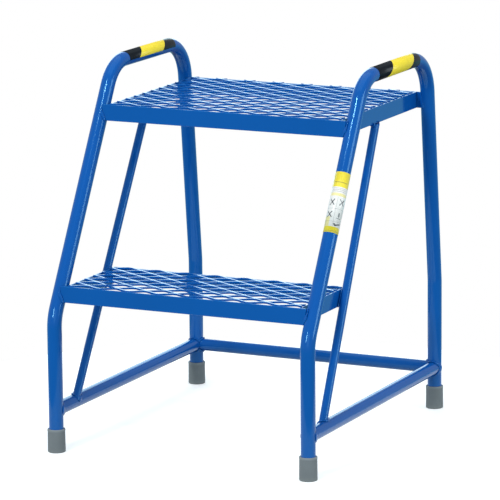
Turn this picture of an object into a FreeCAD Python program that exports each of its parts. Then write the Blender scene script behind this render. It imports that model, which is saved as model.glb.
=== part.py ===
import FreeCAD, Part
import math
import os

# Two-step mounting block: a welded tubular steel frame with expanded-metal treads.
# X runs across the steps, Y runs from the front (first step) to the back, Z is up.
# The origin is on the floor, at the centre of the four feet. All sizes are in millimetres.

# ---- overall sizes ----
HOOP_SPACING = 417.0          # between the centre planes of the two side hoops
FOOT_DEPTH = 481.0            # between the front and the rear feet, centre to centre
STEP_RISE = 254.0             # height of each step
HAND_HOLD_RISE = 57.0         # hand-hold axis above the top tread

# ---- side hoop tube ----
HOOP_TUBE = 22.2              # outside diameter
TUBE_WALL = 1.6
BEND_RADIUS = 62.0            # centreline radius of every bend
FRONT_LEG_HEIGHT = 206.0      # where the front leg turns into the upright
UPRIGHT_ANGLE = 29.6          # upright from the vertical, degrees
REAR_BEND_DROP = 49.0         # rear leg bend below the first tread
REAR_LEG_ANGLE = 5.7          # rear leg above its bend, from the vertical, degrees

# ---- rails and braces ----
RAIL_HEIGHT = 65.0            # rail axis above the floor
SIDE_RAIL_TUBE = 21.3
REAR_RAIL_TUBE = 19.3
BRACE_TUBE = 12.7
BRACE_WALL = 1.2
BRACE_ANGLE = 28.6            # brace from the vertical, seen from the side, degrees
BRACE_SETBACK = 56.0          # brace foot behind the front leg, at rail height

# ---- tread trays ----
BAR_HEIGHT = 25.0             # flat bar on edge
BAR_THICKNESS = 3.0
TRAY_GAP = 3.9                # between the hoop tubes and the outer face of a side bar
BAR_FRONT_SETBACK = 1.2       # front bar behind the foremost line of the upright
FRONT_BAR_INSET = 7.0         # end of a front bar inboard of the hoop plane
REAR_BAR_ADVANCE = 5.11       # top tray's rear edge ahead of the rear leg's axis
LOWER_TREAD_DEPTH = 160.0     # outside, front to back

# ---- expanded metal ----
MESH_LONG_WAY = 49.3          # pitch across the steps
MESH_SHORT_WAY = 28.4         # pitch front to back
MESH_STRAND = 4.4             # width of one strand in plan
MESH_BOND = 11.0              # length of the knuckle where two strands stay joined
MESH_THICKNESS = 2.0
MESH_PROUD = 1.0              # above the top edge of the bars
MESH_EDGE_GAP = 0.1
MESH_SHIFT = 7.6              # the pattern's first column off the centre line

# ---- rubber feet ----
FERRULE_DIAMETER = 27.4
FERRULE_HEIGHT = 36.0
FERRULE_FLOOR = 5.0
FERRULE_EDGE = 1.6            # rounding of the top and bottom rims
FERRULE_FIT = 0.05            # radial clearance around the leg
WASHER_THICKNESS = 1.5
WASHER_BORE = 6.5
WASHER_FIT = 0.3

# ---- hand-hold tape and instruction label ----
FILM_THICKNESS = 0.3
FILM_GAP = 0.05               # between the film and the paint
TAPE_WIDTH = 50.0             # strip width, wrapped round the tube
TAPE_START = -10.0            # its inner edge, above level on the inboard side, degrees
TAPE_LENGTH = 156.0           # from the front end of the straight run, on round the rear bend
LABEL_LENGTH = 94.0           # along the upright
LABEL_WIDTH = 38.0            # round the upright
LABEL_HEIGHT = 351.5          # height of its lower end above the floor
LABEL_TURN = 25.0             # label centre turned outward from the front, degrees

# ---- welds ----
WELD_LEG = 3.0                # reach of a weld on each of the joined faces
JOINT_GAP = 0.15              # root gap between coped pieces
WELD_SCRAP = 3.0              # slivers of less volume are left out of a weld

# ---- derived values ----
HALF_SPACING = HOOP_SPACING / 2
Y_FRONT = -FOOT_DEPTH / 2
Y_REAR = FOOT_DEPTH / 2
HOOP_R = HOOP_TUBE / 2
LOWER_TOP = STEP_RISE
UPPER_TOP = 2 * STEP_RISE
HAND_HOLD_HEIGHT = UPPER_TOP + HAND_HOLD_RISE
REAR_BEND_HEIGHT = LOWER_TOP - REAR_BEND_DROP
LEG_BOTTOM = FERRULE_FLOOR + WASHER_THICKNESS
UPRIGHT_SLOPE = math.tan(math.radians(UPRIGHT_ANGLE))
REAR_SLOPE = math.tan(math.radians(REAR_LEG_ANGLE))
BRACE_SLOPE = math.tan(math.radians(BRACE_ANGLE))
TRAY_HALF = HALF_SPACING - HOOP_R - TRAY_GAP
FILM_INNER = HOOP_R + FILM_GAP
FILM_OUTER = FILM_INNER + FILM_THICKNESS
SIDES = (("left", -1), ("right", 1))
X_AXIS = FreeCAD.Vector(1, 0, 0)
Y_AXIS = FreeCAD.Vector(0, 1, 0)
Z_AXIS = FreeCAD.Vector(0, 0, 1)


def vec(x, y, z):
    return FreeCAD.Vector(x, y, z)


def box(x0, x1, y0, y1, z0, z1):
    return Part.makeBox(x1 - x0, y1 - y0, z1 - z0, vec(x0, y0, z0))


def rod(start, end, radius):
    return Part.makeCylinder(radius, start.distanceToPoint(end), start, end.sub(start))


def stretched(start, end, extra):
    """The same line, made longer by extra at its far end."""
    along = end.sub(start).normalize().multiply(extra)
    return start, end.add(along)


def upright_y(z):
    """Y of the upright's axis at height z."""
    return Y_FRONT + (z - FRONT_LEG_HEIGHT) * UPRIGHT_SLOPE


def rear_leg_y(z):
    """Y of the rear leg's axis at height z."""
    return Y_REAR - max(z - REAR_BEND_HEIGHT, 0) * REAR_SLOPE


def hoop_corners():
    """Corner points of the hoop's centreline, as (y, z)."""
    return [
        (Y_FRONT, LEG_BOTTOM),
        (Y_FRONT, FRONT_LEG_HEIGHT),
        (upright_y(HAND_HOLD_HEIGHT), HAND_HOLD_HEIGHT),
        (rear_leg_y(HAND_HOLD_HEIGHT), HAND_HOLD_HEIGHT),
        (Y_REAR, REAR_BEND_HEIGHT),
        (Y_REAR, LEG_BOTTOM),
    ]


def bend(before, corner, after, radius):
    """Start, middle and end of the arc that rounds a corner of the path."""
    into = corner.sub(before).normalize()
    out = after.sub(corner).normalize()
    half = into.getAngle(out) / 2
    start = corner.sub(into * (radius * math.tan(half)))
    end = corner.add(out * (radius * math.tan(half)))
    inward = out.sub(into).normalize()
    centre = corner.add(inward * (radius / math.cos(half)))
    return start, centre.sub(inward * radius), end


def bent_path(x, corners, radius):
    """A wire of straight runs joined by tangent arcs, in the plane at x."""
    points = [vec(x, y, z) for y, z in corners]
    edges = []
    at = points[0]
    for before, corner, after in zip(points, points[1:], points[2:]):
        start, middle, end = bend(before, corner, after, radius)
        edges.append(Part.LineSegment(at, start).toShape())
        edges.append(Part.Arc(start, middle, end).toShape())
        at = end
    edges.append(Part.LineSegment(at, points[-1]).toShape())
    return Part.Wire(edges)


def swept(path, start, direction, radius):
    circle = Part.Wire(Part.makeCircle(radius, start, direction))
    return path.makePipeShell([circle], True, True)


def hoop_solid(side, radius):
    """The hoop's centreline swept with a full round section."""
    path = bent_path(side * HALF_SPACING, hoop_corners(), BEND_RADIUS)
    return swept(path, vec(side * HALF_SPACING, Y_FRONT, LEG_BOTTOM), Z_AXIS, radius)


def hoop(side):
    """One length of tube: front leg, upright, hand-hold and rear leg."""
    return hoop_solid(side, HOOP_R).cut(hoop_solid(side, HOOP_R - TUBE_WALL))


def side_rail_line(side):
    x = side * HALF_SPACING
    return vec(x, Y_FRONT, RAIL_HEIGHT), vec(x, Y_REAR, RAIL_HEIGHT)


def rear_rail_line():
    return vec(-HALF_SPACING, Y_REAR, RAIL_HEIGHT), vec(HALF_SPACING, Y_REAR, RAIL_HEIGHT)


def rail(line, tube, cutters):
    """A tube coped at both ends to the legs it runs between."""
    start, end = line
    shape = rod(start, end, tube / 2).cut(rod(start, end, tube / 2 - TUBE_WALL))
    for cutter in cutters:
        shape = shape.cut(cutter)
    return biggest(shape)


def biggest(shape):
    return max(shape.Solids, key=lambda solid: solid.Volume)


def leg_rod(side, y, radius):
    """The straight lower part of a leg, as a full rod."""
    x = side * HALF_SPACING
    return rod(vec(x, y, LEG_BOTTOM), vec(x, y, FRONT_LEG_HEIGHT), radius)


def side_rail(side):
    cope = HOOP_R + JOINT_GAP
    return rail(side_rail_line(side), SIDE_RAIL_TUBE, [leg_rod(side, y, cope) for y in (Y_FRONT, Y_REAR)])


def rear_rail():
    """Coped to the rear legs and clear of the side rails beside them."""
    cutters = []
    for _, side in SIDES:
        start, end = side_rail_line(side)
        cutters.append(leg_rod(side, Y_REAR, HOOP_R + JOINT_GAP))
        cutters.append(rod(start, end, SIDE_RAIL_TUBE / 2 + JOINT_GAP))
    return rail(rear_rail_line(), REAR_RAIL_TUBE, cutters)


def brace_line(side):
    """Axis of a brace, from the side rail up to the outer edge of the top tray.

    On the way it passes the outside of the lower tray, clear by the joint gap at tread level.
    """
    foot_z = RAIL_HEIGHT
    head_z = UPPER_TOP - BAR_HEIGHT
    foot_y = Y_FRONT + BRACE_SETBACK
    head_y = foot_y + (head_z - foot_z) * BRACE_SLOPE
    passing_x = TRAY_HALF + JOINT_GAP + BRACE_TUBE / 2
    foot_x = TRAY_HALF + (passing_x - TRAY_HALF) * (head_z - foot_z) / (head_z - LOWER_TOP)
    return vec(side * foot_x, foot_y, foot_z), vec(side * TRAY_HALF, head_y, head_z)


def brace_solid(side, radius):
    start, end = stretched(*brace_line(side), BRACE_TUBE)
    return rod(start, end, radius)


def above_brace():
    """Everything from the underside of the top tray upward."""
    z = UPPER_TOP - BAR_HEIGHT - JOINT_GAP
    return box(-HOOP_SPACING, HOOP_SPACING, Y_FRONT, Y_REAR, z, UPPER_TOP)


def brace(side):
    """Thin tube from the side rail, past the lower tray, to the underside of the top tray."""
    tube = brace_solid(side, BRACE_TUBE / 2).cut(brace_solid(side, BRACE_TUBE / 2 - BRACE_WALL))
    tube = tube.cut(above_brace())
    start, end = side_rail_line(side)
    tube = tube.cut(rod(start, end, SIDE_RAIL_TUBE / 2 + JOINT_GAP))
    return biggest(tube)


def tray_front(top):
    """Y of the front face of a tray, just behind the foremost line of the uprights."""
    foremost = upright_y(top - BAR_HEIGHT / 2) - HOOP_R / math.cos(math.radians(UPRIGHT_ANGLE))
    return foremost + BAR_FRONT_SETBACK


def upper_tread_depth():
    """Depth of the top tray, which reaches back to the rear legs."""
    back = rear_leg_y(UPPER_TOP - BAR_HEIGHT / 2) - REAR_BAR_ADVANCE
    return back - tray_front(UPPER_TOP)


def treads():
    """Name, height and depth of each tread."""
    return (("lower", LOWER_TOP, LOWER_TREAD_DEPTH), ("upper", UPPER_TOP, upper_tread_depth()))


def upright_solid(side, radius):
    """The upright's axis as a full rod, long enough to pass both trays."""
    x = side * HALF_SPACING
    low = LOWER_TOP - 2 * BAR_HEIGHT
    high = UPPER_TOP + BAR_HEIGHT
    return rod(vec(x, upright_y(low), low), vec(x, upright_y(high), high), radius)


def rear_leg_solid(side, radius):
    """The leaning part of the rear leg as a full rod."""
    x = side * HALF_SPACING
    low = REAR_BEND_HEIGHT + BEND_RADIUS
    high = UPPER_TOP + BAR_HEIGHT
    return rod(vec(x, rear_leg_y(low), low), vec(x, rear_leg_y(high), high), radius)


def coped(half_size):
    return half_size + JOINT_GAP


def fattened(half_size):
    return half_size + WELD_LEG


def front_bar(top, grow=0.0):
    """Flat bar between the two uprights, coped to their round."""
    y = tray_front(top)
    half = HALF_SPACING - FRONT_BAR_INSET + grow
    bar = box(-half, half, y - grow, y + BAR_THICKNESS + grow, top - BAR_HEIGHT - grow, top + grow)
    if grow:
        return bar
    for _, side in SIDES:
        bar = bar.cut(upright_solid(side, coped(HOOP_R)))
    return biggest(bar)


def rear_bar(tray, top, depth, grow=0.0):
    """Flat bar across the back: as wide as the lower tray, or coped to the rear legs."""
    y = tray_front(top) + depth - BAR_THICKNESS
    half = TRAY_HALF if tray == "lower" else HALF_SPACING
    bar = box(-half, half, y - grow, y + BAR_THICKNESS + grow, top - BAR_HEIGHT - grow, top + grow)
    if grow or tray == "lower":
        return bar
    for _, side in SIDES:
        bar = bar.cut(rear_leg_solid(side, coped(HOOP_R)))
    return biggest(bar)


def side_bar(top, depth, side, grow=0.0):
    """Flat bar along one side, between the front and the rear bar."""
    y0 = tray_front(top) + BAR_THICKNESS
    y1 = tray_front(top) + depth - BAR_THICKNESS
    outer = side * TRAY_HALF
    inner = side * (TRAY_HALF - BAR_THICKNESS)
    x0, x1 = sorted((outer, inner))
    return box(x0 - grow, x1 + grow, y0 - grow, y1 + grow, top - BAR_HEIGHT - grow, top + grow)


def opening(x, y):
    """One six-sided hole of the expanded metal, as a flat face."""
    tip = MESH_LONG_WAY / 2 - MESH_BOND / 4
    flat = MESH_BOND / 4
    rise = MESH_SHORT_WAY / 2 - MESH_STRAND
    outline = [(-tip, 0), (-flat, rise), (flat, rise), (tip, 0), (flat, -rise), (-flat, -rise)]
    points = [vec(x + dx, y + dy, 0) for dx, dy in outline]
    return Part.Face(Part.makePolygon(points + points[:1]))


def opening_centres(x_half, y0, y1):
    """Centres of the staggered openings that reach into the panel."""
    columns = int(x_half / MESH_LONG_WAY) + 2
    rows = int((y1 - y0) / MESH_SHORT_WAY) + 2
    for column in range(-2 * columns, 2 * columns + 1):
        for row in range(-1, rows):
            x = MESH_SHIFT + column * MESH_LONG_WAY / 2
            y = y0 + (row + 0.5 + 0.5 * (column % 2)) * MESH_SHORT_WAY
            beside = abs(x) < x_half + MESH_LONG_WAY / 2
            if beside and y0 - MESH_SHORT_WAY / 2 < y < y1 + MESH_SHORT_WAY / 2:
                yield x, y


def mesh(top, depth):
    """Expanded-metal panel that fills a tray."""
    x_half = TRAY_HALF - BAR_THICKNESS - MESH_EDGE_GAP
    y0 = tray_front(top) + BAR_THICKNESS + MESH_EDGE_GAP
    y1 = tray_front(top) + depth - BAR_THICKNESS - MESH_EDGE_GAP
    corners = [vec(-x_half, y0, 0), vec(x_half, y0, 0), vec(x_half, y1, 0), vec(-x_half, y1, 0)]
    sheet = Part.Face(Part.makePolygon(corners + corners[:1]))
    sheet = sheet.cut(Part.makeCompound([opening(x, y) for x, y in opening_centres(x_half, y0, y1)]))
    sheet = max(sheet.Faces, key=lambda face: face.Area)
    sheet.translate(vec(0, 0, top + MESH_PROUD - MESH_THICKNESS))
    return sheet.extrude(vec(0, 0, MESH_THICKNESS))


def ferrule(side, y):
    """Rubber foot: a round cap pushed over the end of a leg."""
    x = side * HALF_SPACING
    base = vec(x, y, 0)
    body = Part.makeCylinder(FERRULE_DIAMETER / 2, FERRULE_HEIGHT, base)
    rims = [edge for edge in body.Edges if edge.Curve.TypeId == "Part::GeomCircle"]
    body = body.makeFillet(FERRULE_EDGE, rims)
    bore = Part.makeCylinder(HOOP_R + FERRULE_FIT, FERRULE_HEIGHT, vec(x, y, FERRULE_FLOOR))
    return body.cut(bore)


def washer(side, y):
    """Steel disc inside a ferrule, under the end of the leg."""
    base = vec(side * HALF_SPACING, y, FERRULE_FLOOR)
    disc = Part.makeCylinder(HOOP_R - WASHER_FIT, WASHER_THICKNESS, base)
    return disc.cut(Part.makeCylinder(WASHER_BORE / 2, WASHER_THICKNESS, base))


def film_section(centre, across, up, arc_start, arc_end):
    """Thin curved band round a tube, from arc_start to arc_end degrees above 'across'."""
    def at(radius, degrees):
        angle = math.radians(degrees)
        return centre.add(across * (radius * math.cos(angle))).add(up * (radius * math.sin(angle)))

    middle = (arc_start + arc_end) / 2
    outer = Part.Arc(at(FILM_OUTER, arc_start), at(FILM_OUTER, middle), at(FILM_OUTER, arc_end))
    inner = Part.Arc(at(FILM_INNER, arc_end), at(FILM_INNER, middle), at(FILM_INNER, arc_start))
    ends = [
        Part.LineSegment(at(FILM_OUTER, arc_end), at(FILM_INNER, arc_end)),
        Part.LineSegment(at(FILM_INNER, arc_start), at(FILM_OUTER, arc_start)),
    ]
    return Part.Wire([outer.toShape(), ends[0].toShape(), inner.toShape(), ends[1].toShape()])


def tape_section(side, y):
    """Section of the tape: from the inboard side, over the top and down the outboard side."""
    wrap = math.degrees(TAPE_WIDTH / FILM_INNER)
    centre = vec(side * HALF_SPACING, y, HAND_HOLD_HEIGHT)
    return film_section(centre, X_AXIS * -side, Z_AXIS, TAPE_START, TAPE_START + wrap)


def hand_hold_ends():
    """Y of the two ends of the hand-hold's straight run."""
    points = [vec(0, y, z) for y, z in hoop_corners()]
    front = bend(points[1], points[2], points[3], BEND_RADIUS)[2]
    rear = bend(points[2], points[3], points[4], BEND_RADIUS)[0]
    return front.y, rear.y


def tape(side):
    """One strip of tape. What passes the end of the straight run follows the rear bend."""
    front, rear = hand_hold_ends()
    straight = min(TAPE_LENGTH, rear - front)
    strip = Part.Face(tape_section(side, front)).extrude(Y_AXIS * straight)
    if TAPE_LENGTH == straight:
        return strip
    pivot = vec(side * HALF_SPACING, rear, HAND_HOLD_HEIGHT - BEND_RADIUS)
    turned = math.degrees((TAPE_LENGTH - straight) / BEND_RADIUS)
    rounding = Part.Face(tape_section(side, rear)).revolve(pivot, X_AXIS, -turned)
    return strip.fuse(rounding).removeSplitter()


def label():
    """Instruction label wrapped round the front of the right upright."""
    along = vec(0, math.sin(math.radians(UPRIGHT_ANGLE)), math.cos(math.radians(UPRIGHT_ANGLE)))
    front = vec(0, -along.z, along.y)
    half_wrap = math.degrees(LABEL_WIDTH / FILM_INNER) / 2
    start = vec(HALF_SPACING, upright_y(LABEL_HEIGHT), LABEL_HEIGHT)
    section = film_section(start, front, X_AXIS, LABEL_TURN - half_wrap, LABEL_TURN + half_wrap)
    return Part.Face(section).extrude(along * LABEL_LENGTH)


def bead(first, second, cutters, limits):
    """Weld metal: what lies within reach of both joined pieces but inside neither."""
    shape = first.common(second).common(limits)
    for cutter in cutters:
        shape = shape.cut(cutter)
    return [solid for solid in shape.Solids if solid.Volume > WELD_SCRAP]


def slab(x0, x1, y0, y1, z0, z1):
    """A box whose corners may be given in any order."""
    xs, ys, zs = sorted((x0, x1)), sorted((y0, y1)), sorted((z0, z1))
    return box(xs[0], xs[1], ys[0], ys[1], zs[0], zs[1])


def rail_welds():
    """Welds round the six ends of the bottom rails."""
    beads = []
    rear_start, rear_end = rear_rail_line()
    rear_full = rod(rear_start, rear_end, REAR_RAIL_TUBE / 2)
    rear_fat = rod(rear_start, rear_end, fattened(REAR_RAIL_TUBE / 2))
    for _, side in SIDES:
        start, end = side_rail_line(side)
        side_full = rod(start, end, SIDE_RAIL_TUBE / 2)
        side_fat = rod(start, end, fattened(SIDE_RAIL_TUBE / 2))
        x = side * HALF_SPACING
        for y, toward in ((Y_FRONT, 1), (Y_REAR, -1)):
            near = slab(x - HOOP_TUBE, x + HOOP_TUBE, y, y + toward * HOOP_TUBE, 0, LOWER_TOP)
            cutters = [side_full, rear_full, leg_rod(side, y, HOOP_R)]
            beads += bead(side_fat, leg_rod(side, y, fattened(HOOP_R)), cutters, near)
        near = slab(x, x - side * HOOP_TUBE, Y_REAR - HOOP_TUBE, Y_REAR + HOOP_TUBE, 0, LOWER_TOP)
        cutters = [rear_full, side_full, leg_rod(side, Y_REAR, HOOP_R)] + beads
        beads += bead(rear_fat, leg_rod(side, Y_REAR, fattened(HOOP_R)), cutters, near)
    return beads


def brace_welds(parts):
    """Welds at the foot and the head of each brace."""
    beads = []
    head_z = UPPER_TOP - BAR_HEIGHT
    for name, side in SIDES:
        fat = brace_solid(side, fattened(BRACE_TUBE / 2))
        full = brace_solid(side, BRACE_TUBE / 2)
        start, end = side_rail_line(side)
        rail_full = rod(start, end, SIDE_RAIL_TUBE / 2)
        rail_fat = rod(start, end, fattened(SIDE_RAIL_TUBE / 2))
        foot = slab(0, side * HOOP_SPACING, Y_FRONT, Y_REAR, RAIL_HEIGHT, LOWER_TOP)
        beads += bead(fat, rail_fat, [full, rail_full], foot)
        bar = side_bar(UPPER_TOP, upper_tread_depth(), side, WELD_LEG)
        head = slab(0, side * HOOP_SPACING, Y_FRONT, Y_REAR, head_z - WELD_LEG, head_z + WELD_LEG)
        beads += bead(fat, bar, [full, parts["upper_tread_%s_bar" % name]], head)
    return beads


def tray_welds(tray, top, depth, parts):
    """Welds where a tray meets its uprights, and its braces or rear legs."""
    beads = []
    bars = [parts["%s_tread_%s_bar" % (tray, name)] for name in ("front", "rear", "left", "right")]
    bars.append(parts["%s_tread_mesh" % tray])
    for _, side in SIDES:
        inboard = side * (TRAY_HALF - BAR_THICKNESS - WELD_LEG)
        limits = slab(side * HALF_SPACING, inboard, -FOOT_DEPTH, FOOT_DEPTH, top - BAR_HEIGHT, top)
        upright = upright_solid(side, HOOP_R)
        front = front_bar(top, WELD_LEG)
        beads += bead(front, upright_solid(side, fattened(HOOP_R)), bars + [upright], limits)
        if tray == "lower":
            fat = brace_solid(side, fattened(BRACE_TUBE / 2))
            rear = side_bar(top, depth, side, WELD_LEG)
            beads += bead(rear, fat, bars + [brace_solid(side, BRACE_TUBE / 2), upright], limits)
        else:
            fat = rear_leg_solid(side, fattened(HOOP_R))
            rear = rear_bar(tray, top, depth, WELD_LEG)
            beads += bead(rear, fat, bars + [rear_leg_solid(side, HOOP_R)], limits)
    return beads


def build():
    parts = {}
    for name, side in SIDES:
        parts["%s_hoop" % name] = hoop(side)
        parts["%s_side_rail" % name] = side_rail(side)
        parts["%s_brace" % name] = brace(side)
        parts["%s_tape" % name] = tape(side)
        for place, y in (("front", Y_FRONT), ("rear", Y_REAR)):
            parts["%s_%s_ferrule" % (place, name)] = ferrule(side, y)
    parts["rear_rail"] = rear_rail()
    for tray, top, depth in treads():
        parts["%s_tread_front_bar" % tray] = front_bar(top)
        parts["%s_tread_rear_bar" % tray] = rear_bar(tray, top, depth)
        for name, side in SIDES:
            parts["%s_tread_%s_bar" % (tray, name)] = side_bar(top, depth, side)
        parts["%s_tread_mesh" % tray] = mesh(top, depth)
    washers = [washer(side, y) for _, side in SIDES for y in (Y_FRONT, Y_REAR)]
    parts["ferrule_washers"] = Part.makeCompound(washers)
    parts["instruction_label"] = label()
    parts["rail_welds"] = Part.makeCompound(rail_welds())
    parts["brace_welds"] = Part.makeCompound(brace_welds(parts))
    for tray, top, depth in treads():
        parts["%s_tread_welds" % tray] = Part.makeCompound(tray_welds(tray, top, depth, parts))
    return parts


def main():
    os.makedirs("parts", exist_ok=True)
    for name, shape in build().items():
        shape.exportStep("parts/%s.step" % name)
        size = shape.BoundBox
        print("%-26s solids %3d valid %s volume %10.1f z %.1f to %.1f" % (
            name, len(shape.Solids), shape.isValid(), shape.Volume, size.ZMin, size.ZMax))


main()
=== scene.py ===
import math

import bmesh
import bpy
from bpy.props import FloatProperty, FloatVectorProperty, IntProperty, PointerProperty
from bpy.types import Operator, Panel, PropertyGroup
from mathutils import Matrix, Vector


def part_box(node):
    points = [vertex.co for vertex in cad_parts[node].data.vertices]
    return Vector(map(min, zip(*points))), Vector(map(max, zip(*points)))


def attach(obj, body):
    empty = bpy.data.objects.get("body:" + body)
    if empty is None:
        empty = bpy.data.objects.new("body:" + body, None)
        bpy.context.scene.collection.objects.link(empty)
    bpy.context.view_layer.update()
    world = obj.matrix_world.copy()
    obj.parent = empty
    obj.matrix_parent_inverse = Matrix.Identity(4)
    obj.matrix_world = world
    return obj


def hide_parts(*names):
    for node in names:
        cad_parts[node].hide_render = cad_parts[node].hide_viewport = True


bl_info = {
    "name": "Two-Step Mounting Block",
    "version": (1, 0, 0),
    "blender": (4, 5, 0),
    "location": "3D View > Sidebar > Mounting Block",
    "description": "Dresses a welded two-step mounting block: tube, mesh, tape and rubber feet",
    "category": "Add Mesh",
}

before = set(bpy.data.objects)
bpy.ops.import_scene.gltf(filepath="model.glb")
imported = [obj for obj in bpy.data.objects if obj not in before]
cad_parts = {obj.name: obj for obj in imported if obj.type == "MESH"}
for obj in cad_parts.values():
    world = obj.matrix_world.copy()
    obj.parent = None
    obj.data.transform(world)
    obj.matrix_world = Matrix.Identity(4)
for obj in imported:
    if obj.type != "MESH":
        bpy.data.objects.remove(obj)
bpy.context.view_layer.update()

MM = 0.001
BODY = "root"
SIDES = (("left", -1), ("right", 1))
TREADS = ("lower", "upper")
HOOP_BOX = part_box("left_hoop")


# ---- sizes and colours that can be changed ----

def length(name, description, value, smallest=0.0001):
    return FloatProperty(
        name=name, description=description, default=value, min=smallest,
        unit="LENGTH", subtype="DISTANCE", precision=4)


def angle(name, description, degrees):
    return FloatProperty(
        name=name, description=description, default=math.radians(degrees),
        unit="ROTATION", subtype="ANGLE")


def colour(name, description, value):
    return FloatVectorProperty(
        name=name, description=description, default=value, size=3,
        min=0.0, max=1.0, subtype="COLOR")


class HoopSizes(PropertyGroup):
    tube: length(
        "Tube", "Outside diameter of the hoop tube", HOOP_BOX[1][0] - HOOP_BOX[0][0])
    bend_radius: length("Bend radius", "Centreline radius of every bend", 0.062)
    front_leg_height: length(
        "Front leg height", "Height at which the front leg turns into the upright", 0.206)
    upright_angle: angle("Upright angle", "Lean of the upright from the vertical", 29.6)
    rear_bend_height: length(
        "Rear bend height", "Height at which the rear leg starts to lean", 0.205)
    rear_leg_angle: angle("Rear leg angle", "Lean of the rear leg above its bend", 5.7)
    around: IntProperty(
        name="Facets", description="Facets round the tube", default=48, min=12, max=128)


class TreadSizes(PropertyGroup):
    bar_edge: length("Bar edge", "Rounding of the flat bars' edges", 0.0006)
    long_way: length("Long way", "Pitch of the diamonds across the step", 0.0493)
    short_way: length("Short way", "Pitch of the diamonds from front to back", 0.0284)
    strand: length("Strand", "Width of a strand, front to back", 0.0044)
    knuckle: length("Knuckle", "Width of the flat where two strands join", 0.0055)
    sheet: length("Sheet", "Thickness of the expanded sheet", 0.0029)
    droop: length("Droop", "How much the rear of a strand hangs below its front", 0.0003)
    strand_edge: length("Strand edge", "Rounding of a strand's edges", 0.0003)
    shift: length("Shift", "Pattern's first column off the centre line", 0.0076)


class FilmSizes(PropertyGroup):
    film: length("Film", "Thickness of the tape and of the label", 0.0003)
    film_gap: length("Film gap", "Air between the film and the paint", 0.00005, 0.0)
    tape_width: length("Tape width", "Width of the strip that is wrapped round", 0.050)
    tape_start: angle("Tape start", "Tape's inner edge above level, inboard", -10)
    tape_length: length("Tape length", "Along the hand-hold and on into its rear bend", 0.156)
    stripe: length("Stripe", "Length of one stripe along the tape", 0.080)
    stripe_start: length("Stripe start", "First yellow stripe behind the tape's end", 0.032)
    stripe_slant: FloatProperty(
        name="Stripe slant", description="Run along the tape for each unit across it",
        default=1.15, min=-3.0, max=3.0)
    label_width: length("Label width", "Width of the label round the upright", 0.038)
    label_length: length("Label length", "Length of the label along the upright", 0.094)
    label_height: length("Label height", "Height of the label's lower end", 0.3515)
    label_turn: angle("Label turn", "Label's centre turned outward from the front", 25)


class FinishColours(PropertyGroup):
    paint: colour("Paint", "Blue powder coat", (0.003, 0.088, 0.375))
    paint_worn: colour("Rubbed paint", "Powder coat where shoes rub it", (0.010, 0.160, 0.480))
    tape_yellow: colour("Yellow tape", "Yellow vinyl tape", (1.000, 0.710, 0.046))
    tape_black: colour("Black tape", "Black vinyl tape", (0.006, 0.008, 0.012))
    rubber: colour("Rubber", "Grey rubber of the feet", (0.176, 0.182, 0.188))
    label_white: colour("Label white", "White of the instruction label", (0.930, 0.840, 0.790))
    label_yellow: colour("Label yellow", "Yellow of the instruction label", (1.000, 0.760, 0.035))
    steel: colour("Zinc steel", "Plated steel of the washers", (0.560, 0.570, 0.580))


class BlockSettings(PropertyGroup):
    hoop: PointerProperty(type=HoopSizes)
    tread: PointerProperty(type=TreadSizes)
    film: PointerProperty(type=FilmSizes)
    colours: PointerProperty(type=FinishColours)


# ---- node trees ----

class Signal:
    """An output socket of a node tree, used in ordinary arithmetic."""

    def __init__(self, tree, socket):
        self.tree = tree
        self.socket = socket

    def math(self, operation, *values):
        return self.tree.add("ShaderNodeMath", {"operation": operation}, dict(enumerate(values)))

    def __add__(self, other):
        return self.math("ADD", self, other)

    __radd__ = __add__

    def __sub__(self, other):
        return self.math("SUBTRACT", self, other)

    def __rsub__(self, other):
        return self.math("SUBTRACT", other, self)

    def __mul__(self, other):
        return self.math("MULTIPLY", self, other)

    __rmul__ = __mul__

    def __truediv__(self, other):
        return self.math("DIVIDE", self, other)

    def __gt__(self, other):
        return self.math("GREATER_THAN", self, other)

    def __lt__(self, other):
        return self.math("LESS_THAN", self, other)

    def fraction(self):
        return self.math("FRACT", self)

    def __abs__(self):
        return self.math("ABSOLUTE", self)

    def clamped(self):
        return self.tree.add("ShaderNodeClamp", {}, {"Value": self})


class NodeTree:
    """A node tree and the one way to add a node to it."""

    def __init__(self, tree):
        self.nodes = tree.nodes
        self.links = tree.links

    def feed(self, socket, value):
        if isinstance(value, Signal):
            self.links.new(value.socket, socket)
        else:
            socket.default_value = value

    def add(self, kind, settings, values, output=0):
        node = self.nodes.new(kind)
        for name, value in settings.items():
            if name == "stops":
                self.set_stops(node.color_ramp, value)
            else:
                setattr(node, name, value)
        for name, value in values.items():
            self.feed(node.inputs[name], value)
        return Signal(self, node.outputs[output])

    def set_stops(self, ramp, stops):
        while len(ramp.elements) < len(stops):
            ramp.elements.new(1.0)
        for element, (position, value) in zip(ramp.elements, stops):
            element.position = position
            element.color = value if len(value) == 4 else (*value, 1.0)

    def component(self, vector, name):
        return self.add("ShaderNodeSeparateXYZ", {}, {"Vector": vector}, output=name)

    def noise(self, where, scale, detail=2.0, roughness=0.5):
        return self.add(
            "ShaderNodeTexNoise", {},
            {"Vector": where, "Scale": scale, "Detail": detail, "Roughness": roughness})

    def ramp(self, value, *stops):
        """Grey levels by stops of (position, grey)."""
        grey = [(position, (level, level, level)) for position, level in stops]
        return self.add("ShaderNodeValToRGB", {"stops": grey}, {"Fac": value})

    def mix(self, amount, first, second):
        """Mix of two colours."""
        def rgba(value):
            return value if isinstance(value, Signal) else (*value, 1.0)
        return self.add(
            "ShaderNodeMix", {"data_type": "RGBA"},
            {0: amount, 6: rgba(first), 7: rgba(second)}, output=2)


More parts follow.
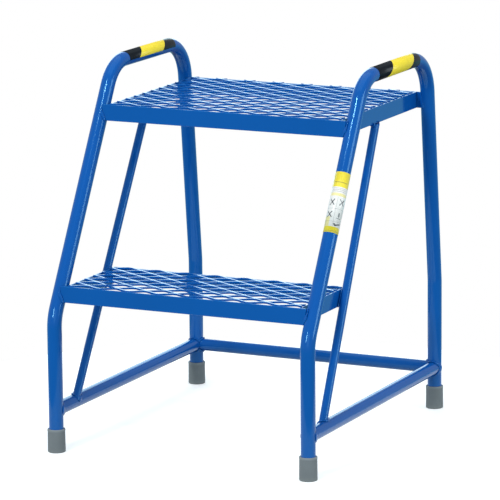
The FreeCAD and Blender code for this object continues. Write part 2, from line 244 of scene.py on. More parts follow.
class Finish(NodeTree):
    """A material with one Principled surface."""

    def __init__(self, name):
        self.material = bpy.data.materials.new(name)
        self.material.use_nodes = True
        super().__init__(self.material.node_tree)
        self.surface = self.nodes["Principled BSDF"]
        self.place = self.add("ShaderNodeTexCoord", {}, {}, output="Object")

    def axis(self, name):
        return self.component(self.place, name)

    def laid_out(self, name):
        """The two coordinates of a UV map."""
        uv = self.add("ShaderNodeUVMap", {"uv_map": name}, {})
        return self.component(uv, "X"), self.component(uv, "Y")

    def attribute(self, name):
        return self.add("ShaderNodeAttribute", {"attribute_name": name}, {}, output="Fac")

    def shows(self, **values):
        for name, value in values.items():
            socket = name.replace("_", " ").title().replace("Ior", "IOR")
            self.feed(self.surface.inputs[socket], value)

    def bumped(self, height, distance, strength=0.5):
        bump = self.add(
            "ShaderNodeBump", {},
            {"Height": height, "Distance": distance, "Strength": strength})
        self.feed(self.surface.inputs["Normal"], bump)


def tinted(value, share):
    """The same colour, lighter or darker by a share."""
    return tuple(min(1.0, channel * (1.0 + share)) for channel in value)


# ---- finishes ----

PAINT_DUST = (0.04, 0.12, 0.28)
BLACK_GRIME = (0.022, 0.026, 0.034)
YELLOW_GRIME = (0.66, 0.44, 0.03)
RUBBER_DUST = (0.30, 0.29, 0.27)
LABEL_INK = (0.05, 0.05, 0.06)
LABEL_EDGE = (0.62, 0.40, 0.05)
LEG_DUST_LEVELS = (0.036, 0.085)  # full dust up to the first height, none above the second
CAP_DUST_LEVELS = (0.001, 0.007)
CAP_RIM_LEVELS = (0.0325, 0.0350) # the paler rim starts at the first height, full at the second
WELD_RIPPLE = 6.0


def powder_coat(colours, name="glossy_blue_coat", ripple=0.0):
    """Glossy powder coat: orange peel, slight clouding, and rubbed edges."""
    coat = Finish(name)
    clouds = coat.noise(coat.place, 9.0, 3.0)
    peel = coat.noise(coat.place, 620.0, 2.0, 0.55)
    scuffs = coat.noise(coat.place, 85.0, 5.0, 0.7)
    rubbed = coat.attribute("rubbed") * coat.ramp(scuffs, (0.38, 0.15), (0.62, 1.0))
    near_floor = coat.ramp(coat.axis("Z"), (LEG_DUST_LEVELS[0], 1.0), (LEG_DUST_LEVELS[1], 0.0))
    dust = near_floor * coat.ramp(scuffs, (0.50, 0.0), (0.75, 0.35))
    flat = coat.mix(clouds, tinted(colours.paint, -0.10), tinted(colours.paint, 0.10))
    worn = coat.mix(rubbed, flat, colours.paint_worn)
    coat.shows(
        base_color=coat.mix(dust, worn, PAINT_DUST),
        roughness=0.07 + 0.06 * clouds + 0.10 * rubbed + 0.3 * dust,
        specular_ior_level=0.42, specular_tint=(0.40, 0.85, 1.0, 1.0))
    relief = peel
    if ripple:
        relief = peel + ripple * coat.noise(coat.place, 330.0, 1.0)
    coat.bumped(relief, 0.00003)
    return coat.material


def weld_coat(colours):
    """The same coat over rippled weld metal."""
    return powder_coat(colours, "blue_weld_coat", ripple=WELD_RIPPLE)


def striped_vinyl(colours, film):
    """Vinyl tape with wide slanting stripes, fine stretch wrinkles and handled patches."""
    tape = Finish("striped_vinyl")
    across, along = tape.laid_out("strip")
    run = (along - film.stripe_slant * across - film.stripe_start) / (2 * film.stripe)
    yellow = run.fraction() < 0.5
    stretched = tape.add(
        "ShaderNodeMapping", {}, {"Vector": tape.place, "Scale": (1.0, 0.22, 1.0)})
    wrinkles = tape.noise(stretched, 260.0, 3.0, 0.6)
    handled = tape.noise(tape.place, 60.0, 4.0, 0.65)
    grime = tape.ramp(handled, (0.50, 0.0), (0.80, 0.45))
    black = tape.mix(grime, colours.tape_black, BLACK_GRIME)
    yellows = tinted(colours.tape_yellow, -0.06), tinted(colours.tape_yellow, 0.06)
    bright = tape.mix(wrinkles, *yellows)
    bright = tape.mix(grime, bright, YELLOW_GRIME)
    tape.shows(
        base_color=tape.mix(yellow, black, bright), roughness=0.16 + 0.16 * handled,
        specular_ior_level=0.22)
    tape.bumped(wrinkles, 0.00008)
    return tape.material


def grey_rubber(colours):
    """Moulded rubber: matt, paler at the top of its rim, scuffed and dusty at the floor."""
    rubber = Finish("moulded_rubber")
    grain = rubber.noise(rubber.place, 900.0, 3.0, 0.6)
    patches = rubber.noise(rubber.place, 70.0, 4.0, 0.6)
    height = rubber.axis("Z")
    rim = rubber.ramp(height, (CAP_RIM_LEVELS[0], 0.0), (CAP_RIM_LEVELS[1], 1.0))
    low_down = rubber.ramp(height, (CAP_DUST_LEVELS[0], 1.0), (CAP_DUST_LEVELS[1], 0.0))
    floor_dust = low_down * (0.4 + patches)
    plain = rubber.mix(patches, tinted(colours.rubber, -0.16), tinted(colours.rubber, 0.16))
    # Paler towards the top of the cap, from the rim heights upward.
    paler_top_rim = rubber.mix(0.45 * rim, plain, tinted(colours.rubber, 0.9))
    rubber.shows(
        base_color=rubber.mix((0.4 * floor_dust).clamped(), paler_top_rim, RUBBER_DUST),
        roughness=0.52 + 0.16 * patches)
    rubber.bumped(grain + 0.6 * patches, 0.00012)
    return rubber.material


def plated_steel(colours):
    """Zinc-plated steel with turning marks and dull spots."""
    steel = Finish("plated_steel")
    marks = steel.noise(steel.place, 700.0, 2.0)
    spots = steel.noise(steel.place, 150.0, 4.0, 0.6)
    steel.shows(
        base_color=steel.mix(spots, tinted(colours.steel, -0.25), colours.steel),
        metallic=1.0, roughness=0.28 + 0.25 * spots)
    steel.bumped(marks, 0.00004)
    return steel.material


def stroke(u, v, turned, width, reach):
    """Mask of a straight stroke through a point, turned from the u axis."""
    along = u * math.cos(turned) + v * math.sin(turned)
    across = v * math.cos(turned) - u * math.sin(turned)
    return (abs(across) < width / 2) * (abs(along) < reach)


# The label is laid out in millimetres from its lower left corner.
LABEL_YELLOW_ABOVE, LABEL_YELLOW_BELOW = 70.5, 9.0
LABEL_RULES = ((63.0, 63.8), (65.6, 66.4), (68.0, 68.6), (77.0, 78.4))
LABEL_CROSSES = ((11.5, 46.5), (26.5, 47.5), (11.0, 27.5))
LABEL_CROSS_TURNS = (0.95, -0.85)
LABEL_STROKES = (
    # across, up, turned, width, reach to each side
    (25.5, 28.0, 1.57, 2.2, 3.2),
    (25.5, 22.6, 0.0, 0.8, 3.4),
    (21.5, 12.6, -0.75, 2.6, 2.2),
    (27.0, 13.4, 0.40, 2.2, 5.0),
)


def label_print(colours, width, height):
    """Generic instruction label: yellow bands, ruled lines, crossed cells and a tick."""
    sheet = Finish("label_print")
    u, v = sheet.laid_out("label")
    u, v = u * (width / MM), v * (height / MM)

    def band(value, low, high):
        return (value > low) * (value < high)

    yellow = (v > LABEL_YELLOW_ABOVE) + (v < LABEL_YELLOW_BELOW)
    pale = band(v, 56.5, 61.0) + band(v, LABEL_YELLOW_BELOW, 24.0) * (u < 13.0)
    rules = sum(band(v, low, high) for low, high in LABEL_RULES) * band(u, 8.0, 29.0)
    frames = band(v, 36.4, 37.0) + band(u, 18.4, 19.0) * band(v, 10.0, 56.0) + band(v, 16.8, 17.3)
    marks = 0.6 * rules + 0.5 * frames
    for centre_u, centre_v in LABEL_CROSSES:
        for turned in LABEL_CROSS_TURNS:
            marks = marks + stroke(u - centre_u, v - centre_v, turned, 1.7, 6.0)
    for centre_u, centre_v, *shape in LABEL_STROKES:
        marks = marks + stroke(u - centre_u, v - centre_v, *shape)
    border = band(v, 1.6, 2.8) + (u > 36.9) * (v < 60.0)
    wear = sheet.noise(sheet.place, 240.0, 4.0, 0.6)
    paper = sheet.mix(wear, tinted(colours.label_white, -0.04), tinted(colours.label_white, 0.04))
    tint = sheet.mix(yellow.clamped(), paper, colours.label_yellow)
    tint = sheet.mix(0.55 * pale, tint, colours.label_yellow)
    tint = sheet.mix(0.75 * border.clamped(), tint, LABEL_EDGE)
    sheet.shows(
        base_color=sheet.mix((0.82 * marks).clamped(), tint, LABEL_INK),
        roughness=0.22 + 0.15 * wear, coat_weight=0.3)
    sheet.bumped(wear, 0.00004)
    return sheet.material


def shared_finish(name, make, *values):
    """The material of that name, made once."""
    return bpy.data.materials.get(name) or make(*values)


# ---- mesh helpers ----

def edges_among(verts):
    """Edges that run between these vertices, in a settled order."""
    among = set(verts)
    linked = dict.fromkeys(edge for vert in verts for edge in vert.link_edges)
    return [edge for edge in linked if among.issuperset(edge.verts)]


def only_verts(geometry):
    return [item for item in geometry if isinstance(item, bmesh.types.BMVert)]


def push(bm, edges, offset):
    """Extrudes edges by an offset and returns the far ones."""
    made = bmesh.ops.extrude_edge_only(bm, edges=edges)
    verts = only_verts(made["geom"])
    bmesh.ops.translate(bm, verts=verts, vec=offset)
    return edges_among(verts)


def sweep_round(bm, edges, pivot, axis, turned, steps):
    """Spins edges about an axis and returns the far ones."""
    verts = list(dict.fromkeys(vert for edge in edges for vert in edge.verts))
    made = bmesh.ops.spin(
        bm, geom=verts + edges, cent=pivot, axis=axis, dvec=(0, 0, 0), angle=turned, steps=steps)
    return edges_among(only_verts(made["geom_last"]))


def close_holes(bm):
    rims = [edge for edge in bm.edges if edge.is_boundary]
    bmesh.ops.holes_fill(bm, edges=rims)


def piece_from(bm, name, material, nodes, sharp=35.0):
    """Finishes a mesh as a piece that rides on the frame and stands for CAD nodes."""
    mesh = bpy.data.meshes.new(name)
    bm.to_mesh(mesh)
    bm.free()
    return piece_of(mesh, name, material, nodes, sharp)


def piece_of(mesh, name, material, nodes, sharp=35.0):
    mesh.shade_smooth()
    mesh.set_sharp_from_angle(angle=math.radians(sharp))
    mesh.materials.clear()
    mesh.materials.append(material)
    piece = bpy.data.objects.new(name, mesh)
    bpy.context.scene.collection.objects.link(piece)
    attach(piece, BODY)
    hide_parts(*nodes)
    return piece


def tidy_shell(bm):
    bmesh.ops.remove_doubles(bm, verts=bm.verts, dist=1e-6)
    bmesh.ops.recalc_face_normals(bm, faces=bm.faces)


# ---- hoops ----

def hoop_corners(sizes, side):
    """Corner points of a hoop's centreline, from the front foot round to the rear foot."""
    low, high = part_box("left_hoop" if side < 0 else "right_hoop")
    x = (low[0] + high[0]) / 2
    front, rear = low[1] + sizes.tube / 2, high[1] - sizes.tube / 2
    bottom, top = low[2], high[2] - sizes.tube / 2
    upright_top = front + (top - sizes.front_leg_height) * math.tan(sizes.upright_angle)
    rear_top = rear - (top - sizes.rear_bend_height) * math.tan(sizes.rear_leg_angle)
    return [
        Vector((x, front, bottom)),
        Vector((x, front, sizes.front_leg_height)),
        Vector((x, upright_top, top)),
        Vector((x, rear_top, top)),
        Vector((x, rear, sizes.rear_bend_height)),
        Vector((x, rear, bottom)),
    ]


def bend_at(before, corner, after, radius):
    """Start, end, pivot, axis and angle of the bend that rounds a corner."""
    into = (corner - before).normalized()
    out = (after - corner).normalized()
    turned = into.angle(out)
    axis = into.cross(out).normalized()
    reach = radius * math.tan(turned / 2)
    start = corner - into * reach
    return start, corner + out * reach, start + axis.cross(into) * radius, axis, turned


BEND_STEPS_PER_RADIAN = 14


def bent_tube(corners, radius, bend_radius, around):
    """A round tube along straight runs joined by bends."""
    bm = bmesh.new()
    made = bmesh.ops.create_circle(
        bm, segments=around, radius=radius, matrix=Matrix.Translation(corners[0]))
    edges = edges_among(made["verts"])
    at = corners[0]
    for before, corner, after in zip(corners, corners[1:], corners[2:]):
        start, end, pivot, axis, turned = bend_at(before, corner, after, bend_radius)
        edges = push(bm, edges, start - at)
        steps = max(4, round(turned * BEND_STEPS_PER_RADIAN))
        edges = sweep_round(bm, edges, pivot, axis, turned, steps)
        at = end
    push(bm, edges, corners[-1] - at)
    close_holes(bm)
    tidy_shell(bm)
    return bm


class BLOCK_OT_hoops(Operator):
    """Make the two bent tubes that are legs, uprights and hand-holds in one"""

    bl_idname = "mounting_block.hoops"
    bl_label = "Side hoops"

    def execute(self, context):
        block = context.scene.mounting_block
        coat = shared_finish("glossy_blue_coat", powder_coat, block.colours)
        for name, side in SIDES:
            corners = hoop_corners(block.hoop, side)
            bm = bent_tube(corners, block.hoop.tube / 2, block.hoop.bend_radius, block.hoop.around)
            node = "%s_hoop" % name
            piece_from(bm, "%s_tube" % node, coat, [node])
        return {"FINISHED"}


# ---- treads ----

def rounded_bar(low, high, edge):
    """A flat bar with rounded edges. Its rounded faces are marked as rubbed."""
    bm = bmesh.new()
    size = Vector(high) - Vector(low)
    bmesh.ops.create_cube(bm, size=1.0)
    bmesh.ops.scale(bm, verts=bm.verts, vec=size)
    bmesh.ops.translate(bm, verts=bm.verts, vec=(Vector(low) + Vector(high)) / 2)
    mark = bm.faces.layers.float.new("rubbed")
    rounded = bmesh.ops.bevel(
        bm, geom=bm.edges[:], offset=edge, offset_type="OFFSET", segments=3,
        profile=0.5, affect="EDGES", material=-1)
    for face in rounded["faces"]:
        face[mark] = 1.0 if face.normal.z > 0.1 else 0.35
    return bm


class BLOCK_OT_tread_bars(Operator):
    """Make the flat bars on edge that frame both treads"""

    bl_idname = "mounting_block.tread_bars"
    bl_label = "Tread bars"

    def execute(self, context):
        block = context.scene.mounting_block
        coat = shared_finish("glossy_blue_coat", powder_coat, block.colours)
        for tread in TREADS:
            for place in ("front", "rear", "left", "right"):
                node = "%s_tread_%s_bar" % (tread, place)
                bm = rounded_bar(*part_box(node), block.tread.bar_edge)
                bar = piece_from(bm, "%s_rounded" % node, coat, [node], 60.0)
                bar.modifiers.new("Even shading", "WEIGHTED_NORMAL")
        return {"FINISHED"}


def diamond_unit(bm, tread):
    """One knuckle and the two strands that leave it toward the rear, as a folded strip."""
    flat = tread.knuckle / 2
    across = tread.long_way / 2 - flat
    back = tread.short_way / 2 - tread.strand
    droop, deep = tread.droop, tread.strand

    def quad(*points):
        return bmesh.ops.contextual_create(
            bm, geom=[bmesh.ops.create_vert(bm, co=point)["vert"][0] for point in points])

    quad((-flat, -deep, droop), (flat, -deep, droop), (flat, 0, 0), (-flat, 0, 0))
    quad((-flat, 0, 0), (flat, 0, 0), (flat, deep, -droop), (-flat, deep, -droop))
    for side in (-1, 1):
        quad((side * flat, 0, 0), (side * across, back, droop),
             (side * across, back + deep, 0), (side * flat, deep, -droop))


def diamond_pattern(bm, tread, low, high):
    """Staggered knuckles and strands between two corners, trimmed there and facing up."""
    diamond_unit(bm, tread)
    unit = bm.verts[:] + bm.edges[:] + bm.faces[:]
    step_x, step_y = tread.long_way / 2, tread.short_way / 2
    level = (low[2] + high[2]) / 2
    columns = int((high[0] - low[0]) / step_x / 2) + 2
    rows = int((high[1] - low[1]) / step_y) + 3
    for column in range(-columns, columns + 1):
        for row in range(-2, rows):
            if (column + row) % 2:
                copy = bmesh.ops.duplicate(bm, geom=unit)
                corner = (tread.shift + column * step_x, low[1] + (row + 1) * step_y, level)
                bmesh.ops.translate(bm, verts=only_verts(copy["geom"]), vec=corner)
    bmesh.ops.delete(bm, geom=unit, context="VERTS")
    bmesh.ops.remove_doubles(bm, verts=bm.verts, dist=1e-5)
    cuts = (low, (-1, 0, 0)), (low, (0, -1, 0)), (high, (1, 0, 0)), (high, (0, 1, 0))
    for corner, outward in cuts:
        bmesh.ops.bisect_plane(
            bm, geom=bm.verts[:] + bm.edges[:] + bm.faces[:], dist=1e-6,
            plane_co=corner, plane_no=outward, clear_outer=True)
    bmesh.ops.recalc_face_normals(bm, faces=bm.faces)
    for face in bm.faces:
        if face.normal.z < 0:
            face.normal_flip()


CRISP_TURN = 1.0                  # radians between two faces of a sharp edge


def tread_sheet(tread, low, high):
    """Expanded metal between two corners. Faces that shoes reach are marked as rubbed."""
    bm = bmesh.new()
    diamond_pattern(bm, tread, low, high)
    bmesh.ops.translate(bm, verts=bm.verts, vec=(0, 0, tread.sheet / 2))
    bmesh.ops.solidify(bm, geom=bm.faces[:], thickness=tread.sheet)
    bmesh.ops.recalc_face_normals(bm, faces=bm.faces)
    mark = bm.faces.layers.float.new("rubbed")
    crisp = [edge for edge in bm.edges if edge.is_manifold and edge.calc_face_angle() > CRISP_TURN]
    rounded = bmesh.ops.bevel(
        bm, geom=crisp, offset=tread.strand_edge, offset_type="OFFSET", segments=2,
        profile=0.5, affect="EDGES", material=-1)
    for face in bm.faces:
        if face.normal.z > 0.9:
            face[mark] = 0.5
    for face in rounded["faces"]:
        face[mark] = 1.0 if face.normal.z > 0.2 else 0.0
    return bm


class BLOCK_OT_tread_meshes(Operator):
    """Make the expanded-metal sheets that fill both treads"""

    bl_idname = "mounting_block.tread_meshes"
    bl_label = "Tread meshes"

    def execute(self, context):
        block = context.scene.mounting_block
        coat = shared_finish("glossy_blue_coat", powder_coat, block.colours)
        for tread in TREADS:
            node = "%s_tread_mesh" % tread
            bm = tread_sheet(block.tread, *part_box(node))
            sheet = piece_from(bm, "%s_expanded" % node, coat, [node], 50.0)
            sheet.modifiers.new("Even shading", "WEIGHTED_NORMAL")
        return {"FINISHED"}


# ---- welds ----

WELD_NODES = ("rail_welds", "brace_welds", "lower_tread_welds", "upper_tread_welds")
WELD_DRAWN_IN = 0.0006
WELD_CELL = 0.0005
WELD_SMOOTHING = 8


def softened(node):
    """A weld's plain mesh, drawn in a little, then remeshed and smoothed into a run of bead."""
    bm = bmesh.new()
    bm.from_mesh(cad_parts[node].data)
    bmesh.ops.remove_doubles(bm, verts=bm.verts, dist=1e-5)
    mesh = bpy.data.meshes.new("%s_rough" % node)
    bm.to_mesh(mesh)
    bm.free()
    rough = bpy.data.objects.new("%s_rough" % node, mesh)
    bpy.context.scene.collection.objects.link(rough)
    drawn = rough.modifiers.new("Drawn in", "DISPLACE")
    drawn.mid_level = 0.0
    drawn.strength = -WELD_DRAWN_IN
    remesh = rough.modifiers.new("Remesh", "REMESH")
    remesh.mode = "VOXEL"
    remesh.voxel_size = WELD_CELL
    smooth = rough.modifiers.new("Smooth", "SMOOTH")
    smooth.iterations = WELD_SMOOTHING
    graph = bpy.context.evaluated_depsgraph_get()
    made = bpy.data.meshes.new_from_object(rough.evaluated_get(graph))
    bpy.data.objects.remove(rough)
    return made


class BLOCK_OT_welds(Operator):
    """Make the weld beads at every joint of the frame"""

    bl_idname = "mounting_block.welds"
    bl_label = "Welds"

    def execute(self, context):
        block = context.scene.mounting_block
        coat = shared_finish("blue_weld_coat", weld_coat, block.colours)
        for node in WELD_NODES:
            piece_of(softened(node), "%s_beads" % node, coat, [node], 180.0)
        return {"FINISHED"}


# ---- rubber feet ----

FERRULE_FACETS = 56
# radius and height, in millimetres, from the centre underneath round to the bore's floor
FERRULE_PROFILE = (
    (0.0, 1.2), (5.6, 1.2), (6.4, 0.0), (8.4, 0.0), (9.0, 0.9), (10.0, 0.9), (10.6, 0.0),
    (13.7, 0.0), (13.45, 30.0), (13.5, 32.2), (13.7, 33.0), (13.7, 36.0), (11.2, 36.0),
    (11.2, 5.0), (0.0, 5.0))
# rim's radius and height, and how far it is rounded
FERRULE_ROUNDS = (((13.7, 0.0), 1.5), ((13.7, 36.0), 1.1), ((11.2, 36.0), 0.5))


def on_rim(edge, radius, height):
    """Whether an edge lies on a circle about the vertical axis."""
    return all(
        abs(vert.co.z - height) < 1e-5 and abs(vert.co.xy.length - radius) < 1e-5
        for vert in edge.verts)


def ferrule_cap(x, y):
    """A rubber cap turned from its profile, with ribs underneath and a lip at the top."""
    bm = bmesh.new()
    points = [
        bmesh.ops.create_vert(bm, co=(r * MM, 0, z * MM))["vert"][0]
        for r, z in FERRULE_PROFILE]
    outline = [bm.edges.new(pair) for pair in zip(points, points[1:])]
    bmesh.ops.spin(
        bm, geom=points + outline, cent=(0, 0, 0), axis=(0, 0, 1), dvec=(0, 0, 0),
        angle=math.tau, steps=FERRULE_FACETS, use_merge=True)
    tidy_shell(bm)
    for (radius, height), offset in FERRULE_ROUNDS:
        rim = [edge for edge in bm.edges if on_rim(edge, radius * MM, height * MM)]
        bmesh.ops.bevel(
            bm, geom=rim, offset=offset * MM, offset_type="OFFSET", segments=4,
            profile=0.5, affect="EDGES", material=-1)
    bmesh.ops.translate(bm, verts=bm.verts, vec=(x, y, 0))
    return bm


class BLOCK_OT_ferrules(Operator):
    """Make the four rubber feet"""

    bl_idname = "mounting_block.ferrules"
    bl_label = "Rubber feet"

    def execute(self, context):
        block = context.scene.mounting_block
        rubber = shared_finish("moulded_rubber", grey_rubber, block.colours)
        for end in ("front", "rear"):
            for name, _ in SIDES:
                node = "%s_%s_ferrule" % (end, name)
                low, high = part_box(node)
                bm = ferrule_cap((low[0] + high[0]) / 2, (low[1] + high[1]) / 2)
                piece_from(bm, "%s_cap" % node, rubber, [node], 40.0)
        return {"FINISHED"}


# ---- tape and label ----

WRAP_STEPS = 40
TAPE_BEND_STEPS = 10
WRAP_SLACK = 0.2                  # radians, so that the first edge isn't taken for a full turn


def wrapped_arc(bm, first, centre, axis, turned):
    """A row of edges from one point round an axis."""
    vert = bmesh.ops.create_vert(bm, co=first)["vert"][0]
    bmesh.ops.spin(
        bm, geom=[vert], cent=centre, axis=axis, dvec=(0, 0, 0), angle=turned, steps=WRAP_STEPS)
    return bm.edges[:]


def facing_out(bm, inside):
    """Turns a thin film's faces away from a point inside it."""
    bmesh.ops.remove_doubles(bm, verts=bm.verts, dist=1e-6)
    bmesh.ops.recalc_face_normals(bm, faces=bm.faces)
    if sum((face.calc_center_median() - inside).dot(face.normal) for face in bm.faces) < 0:
        bmesh.ops.reverse_faces(bm, faces=bm.faces)


def tape_film(hoop, film, side):
    """Strip of tape on a hand-hold. What passes the straight run follows the rear bend."""
    corners = hoop_corners(hoop, side)
    _, begin, _, _, _ = bend_at(*corners[1:4], hoop.bend_radius)
    run_end, _, pivot, axis, _ = bend_at(*corners[2:5], hoop.bend_radius)
    inner = hoop.tube / 2 + film.film_gap
    wrap = film.tape_width / inner
    inboard, up, back = Vector((-side, 0, 0)), Vector((0, 0, 1)), Vector((0, 1, 0))
    start = math.cos(film.tape_start) * inboard + math.sin(film.tape_start) * up
    bm = bmesh.new()
    edges = wrapped_arc(bm, begin + (inner + film.film) * start, begin, back, side * wrap)
    edges = push(bm, edges, run_end - begin)
    straight = (run_end - begin).length
    past_bend = (film.tape_length - straight) / hoop.bend_radius
    sweep_round(bm, edges, pivot, axis, past_bend, TAPE_BEND_STEPS)
    facing_out(bm, (begin + run_end) / 2)
    first_turn = film.tape_start if side < 0 else math.pi - film.tape_start - wrap
    uv = bm.loops.layers.uv.new("strip")
    for face in bm.faces:
        for loop in face.loops:
            spot, along = loop.vert.co, loop.vert.co.y - begin.y
            if along > straight + 1e-6:
                arm = spot - pivot
                turned = math.atan2(arm.y, arm.z)
                along = straight + turned * hoop.bend_radius
                rise = math.hypot(arm.y, arm.z) - hoop.bend_radius
            else:
                rise = spot.z - begin.z
            round_tube = math.atan2(rise, spot.x - begin.x)
            if round_tube < first_turn - WRAP_SLACK:
                round_tube += math.tau
            loop[uv].uv = ((round_tube - first_turn) * inner, along)
    return bm


def thickened(piece, thickness):
    solid = piece.modifiers.new("Film", "SOLIDIFY")
    solid.thickness = thickness
    solid.offset = -1.0
    solid.use_even_offset = True


class BLOCK_OT_tape(Operator):
    """Wrap the striped tape round both hand-holds"""

    bl_idname = "mounting_block.tape"
    bl_label = "Hand-hold tape"

    def execute(self, context):
        block = context.scene.mounting_block
        vinyl = shared_finish("striped_vinyl", striped_vinyl, block.colours, block.film)
        for name, side in SIDES:
            node = "%s_tape" % name
            bm = tape_film(block.hoop, block.film, side)
            piece = piece_from(bm, "%s_film" % node, vinyl, [node])
            thickened(piece, block.film.film)
        return {"FINISHED"}


class BLOCK_OT_label(Operator):
    """Wrap the instruction label round the right upright"""

    bl_idname = "mounting_block.label"
    bl_label = "Instruction label"

    def execute(self, context):
        block = context.scene.mounting_block
        hoop, film = block.hoop, block.film
        corners = hoop_corners(hoop, 1)
        along = (corners[2] - corners[1]).normalized()
        ahead = Vector((0, -along.z, along.y))
        outward = Vector((1, 0, 0))
        start = corners[1] + along * ((film.label_height - corners[1].z) / along.z)
        outer = hoop.tube / 2 + film.film_gap + film.film
        wrap = film.label_width / (hoop.tube / 2 + film.film_gap)
        first_turn = film.label_turn - wrap / 2
        first = start + outer * (math.cos(first_turn) * ahead + math.sin(first_turn) * outward)
        bm = bmesh.new()
        edges = wrapped_arc(bm, first, start, along, wrap)
        push(bm, edges, along * film.label_length)
        facing_out(bm, start + along * film.label_length / 2)
        uv = bm.loops.layers.uv.new("label")
        for face in bm.faces:
            for loop in face.loops:
                arm = loop.vert.co - start
                turned = math.atan2(arm.dot(outward), arm.dot(ahead))
                loop[uv].uv = ((turned - first_turn) / wrap, arm.dot(along) / film.label_length)
        print_finish = shared_finish(
            "label_print", label_print, block.colours, film.label_width, film.label_length)
        node = "instruction_label"
        piece = piece_from(bm, "%s_film" % node, print_finish, [node])
        thickened(piece, film.film)
        return {"FINISHED"}


# ---- pieces carried over as they are ----

class BLOCK_OT_carried(Operator):
    """Paint the rails and braces and plate the washers"""

    bl_idname = "mounting_block.carried"
    bl_label = "Rails, braces and washers"

    def execute(self, context):
        colours = context.scene.mounting_block.colours
        coat = shared_finish("glossy_blue_coat", powder_coat, colours)
        steel = shared_finish("plated_steel", plated_steel, colours)
        finishes = {"rear_rail": coat, "ferrule_washers": steel}
        for name, _ in SIDES:
            finishes["%s_side_rail" % name] = coat
            finishes["%s_brace" % name] = coat
        for node, finish in finishes.items():
            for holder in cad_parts[node].material_slots:
                holder.material = finish
        return {"FINISHED"}


# ---- studio ----

CAMERA_PLACE = (2.40958, -5.07162, 1.42658)
CAMERA_AZIMUTH = 25.385
CAMERA_ELEVATION = 11.525
CAMERA_ROLL = -0.492
CAMERA_LENS, CAMERA_SENSOR, CAMERA_REACH = 270.0, 36.0, 60.0
SOFT, COOL = (0.84, 0.95, 1.0), (0.58, 0.86, 1.0)
FLOOR_RADIUS, FLOOR_GLOW = 0.62, 0.5
FLOOR_TONES = (0.80, 0.80, 0.80), (0.82, 0.82, 0.82)
ROOM_FLOOR, ROOM_WALLS, ROOM_LOW_WALLS = (0.18, 0.20, 0.21), (0.60, 0.67, 0.70), (0.26, 0.66, 0.76)
LIGHTS = (
    # name, place, aimed at, width, height, power, colour
    ("key", (-0.12, -4.10, 5.27), (0.0, 0.0, 0.5), 1.3, 0.18, 58.0, SOFT),
    ("tall_strip", (-0.75, -5.0, 2.6), (0.0, 0.0, 0.3), 0.65, 1.9, 125.0, SOFT),
    ("overhead", (0.0, 0.2, 2.6), (0.0, 0.0, 0.3), 2.4, 2.4, 12.0, SOFT),
    ("rear_panel", (-1.75, 2.7, 1.1), (0.0, 0.0, 0.4), 2.2, 1.7, 24.0, COOL),
    ("front_fill", (1.2, -3.2, 1.3), (0.0, 0.0, 0.3), 1.6, 1.6, 8.0, SOFT),
    ("right_fill", (3.0, 0.2, 1.2), (0.0, 0.0, 0.3), 1.2, 1.6, 30.0, SOFT),
)


def aimed(place, target):
    turned = (Vector(target) - Vector(place)).to_track_quat("-Z", "Y").to_matrix().to_4x4()
    return Matrix.Translation(place) @ turned


def plain_floor():
    """A round pale floor under the block."""
    bm = bmesh.new()
    bmesh.ops.create_circle(bm, cap_ends=True, segments=96, radius=FLOOR_RADIUS)
    mesh = bpy.data.meshes.new("floor")
    bm.to_mesh(mesh)
    bm.free()
    floor = bpy.data.objects.new("floor", mesh)
    bpy.context.scene.collection.objects.link(floor)
    paper = Finish("pale_floor")
    tone = paper.noise(paper.place, 2.0, 2.0)
    paper.shows(
        base_color=paper.mix(tone, *FLOOR_TONES), roughness=0.9,
        emission_color=(1.0, 1.0, 1.0, 1.0), emission_strength=FLOOR_GLOW)
    mesh.materials.append(paper.material)
    floor.visible_diffuse = False


def studio_world():
    """Pale paper behind the block, and a soft room, darker below, for the paint to mirror."""
    world = bpy.data.worlds.new("studio")
    world.use_nodes = True
    tree = NodeTree(world.node_tree)
    seen = tree.add("ShaderNodeLightPath", {}, {}, output="Is Camera Ray")
    around = tree.add("ShaderNodeTexCoord", {}, {}, output="Generated")
    height = 0.5 + 0.5 * tree.component(around, "Z")
    level = tree.ramp(height, (0.25, 0.0), (0.40, 1.0), (0.80, 0.65))
    below = tree.ramp(height, (0.44, 1.0), (0.50, 0.0))
    sides = tree.mix(below, ROOM_WALLS, ROOM_LOW_WALLS)
    room = tree.mix(level, ROOM_FLOOR, sides)
    background = tree.nodes["Background"]
    tree.feed(background.inputs["Color"], tree.mix(seen, room, (1.0, 1.0, 1.0)))
    bpy.context.scene.world = world


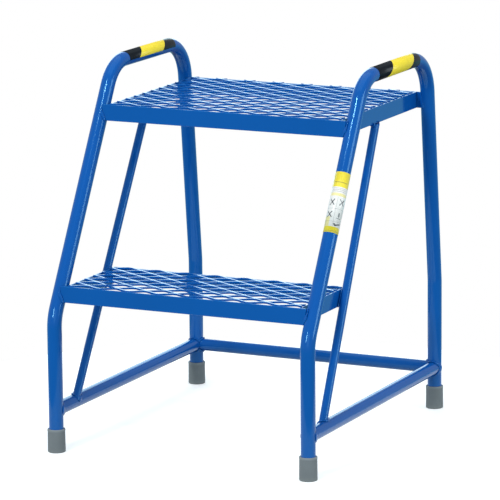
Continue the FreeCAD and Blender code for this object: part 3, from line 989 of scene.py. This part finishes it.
class BLOCK_OT_studio(Operator):
    """Set up the floor, the lights and the camera"""

    bl_idname = "mounting_block.studio"
    bl_label = "Studio"

    def execute(self, context):
        plain_floor()
        studio_world()
        for name, place, target, width, height, power, tone in LIGHTS:
            light = bpy.data.lights.new(name, "AREA")
            light.shape = "RECTANGLE"
            light.size, light.size_y, light.energy = width, height, power
            light.color = tone
            lamp = bpy.data.objects.new(name, light)
            context.scene.collection.objects.link(lamp)
            lamp.matrix_world = aimed(place, target)
        lens = bpy.data.cameras.new("camera")
        lens.lens, lens.sensor_width = CAMERA_LENS, CAMERA_SENSOR
        lens.clip_end = CAMERA_REACH
        camera = bpy.data.objects.new("camera", lens)
        context.scene.collection.objects.link(camera)
        camera.matrix_world = (
            Matrix.Translation(CAMERA_PLACE)
            @ Matrix.Rotation(math.radians(CAMERA_AZIMUTH), 4, "Z")
            @ Matrix.Rotation(math.radians(90 - CAMERA_ELEVATION), 4, "X")
            @ Matrix.Rotation(math.radians(CAMERA_ROLL), 4, "Z"))
        context.scene.camera = camera
        context.scene.view_settings.view_transform = "Standard"
        return {"FINISHED"}


OPERATORS = (
    BLOCK_OT_studio, BLOCK_OT_hoops, BLOCK_OT_carried, BLOCK_OT_tread_bars, BLOCK_OT_tread_meshes,
    BLOCK_OT_welds, BLOCK_OT_ferrules, BLOCK_OT_tape, BLOCK_OT_label)


class BLOCK_PT_panel(Panel):
    """Lists the steps that dress the mounting block"""

    bl_idname = "BLOCK_PT_panel"
    bl_label = "Mounting Block"
    bl_space_type = "VIEW_3D"
    bl_region_type = "UI"
    bl_category = "Mounting Block"

    def draw(self, context):
        block = context.scene.mounting_block
        for group in (block.hoop, block.tread, block.film, block.colours):
            box = self.layout.box()
            for name in group.bl_rna.properties.keys():
                if name not in {"rna_type", "name"}:
                    box.prop(group, name)
        for operator in OPERATORS:
            self.layout.operator(operator.bl_idname)


CLASSES = (
    HoopSizes, TreadSizes, FilmSizes, FinishColours, BlockSettings, *OPERATORS, BLOCK_PT_panel)


def register():
    for cls in CLASSES:
        bpy.utils.register_class(cls)
    bpy.types.Scene.mounting_block = PointerProperty(type=BlockSettings)


def unregister():
    del bpy.types.Scene.mounting_block
    for cls in reversed(CLASSES):
        bpy.utils.unregister_class(cls)


def main():
    register()
    for operator in OPERATORS:
        group, name = operator.bl_idname.split(".")
        getattr(getattr(bpy.ops, group), name)()


if __name__ == "__main__":
    main()
